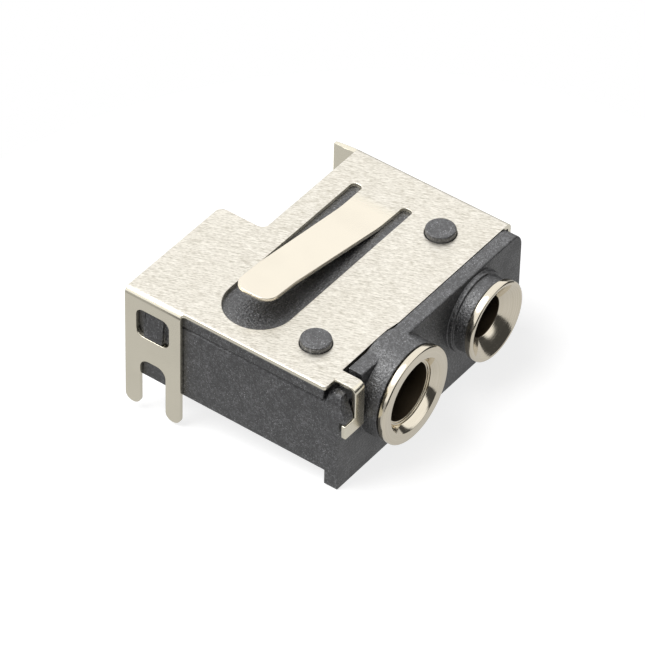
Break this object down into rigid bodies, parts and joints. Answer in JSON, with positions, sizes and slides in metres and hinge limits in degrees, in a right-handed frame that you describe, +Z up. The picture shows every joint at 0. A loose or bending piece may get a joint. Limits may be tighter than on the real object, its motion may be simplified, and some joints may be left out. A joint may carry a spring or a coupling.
{
  "type": "twin audio jack socket",
  "caption": "Board-mounted twin audio socket: a large and a small barrel side by side in a black moulding under a folded metal shield.",
  "frame": {"origin": "on the large socket's axis, in the plane of the housing's front face", "axes": "+X across towards the small socket, +Y backwards, the way the plugs go in, +Z up from the board, whose top is at z = -3.37 mm"},
  "size_m": [0.0177, 0.0162, 0.0095],
  "materials": {
    "moulding": "fine matt, glass filled",
    "sheet_nickel": "brushed, nickel plated",
    "turned_nickel": "bright nickel plated",
    "contact_bronze": "bright, lightly plated"
  },
  "bodies": {
    "root": {"housing": "moulding", "lid": "moulding", "shield": "sheet_nickel", "large_barrel": "turned_nickel", "small_barrel": "turned_nickel", "large_tip_spring": "contact_bronze", "large_tip_switch": "contact_bronze", "large_ring_spring": "contact_bronze", "small_tip_spring": "contact_bronze", "small_tip_switch": "contact_bronze", "small_ring_spring": "contact_bronze", "large_sleeve_terminal": "contact_bronze", "small_sleeve_terminal": "contact_bronze"}
  },
  "joints": []
}
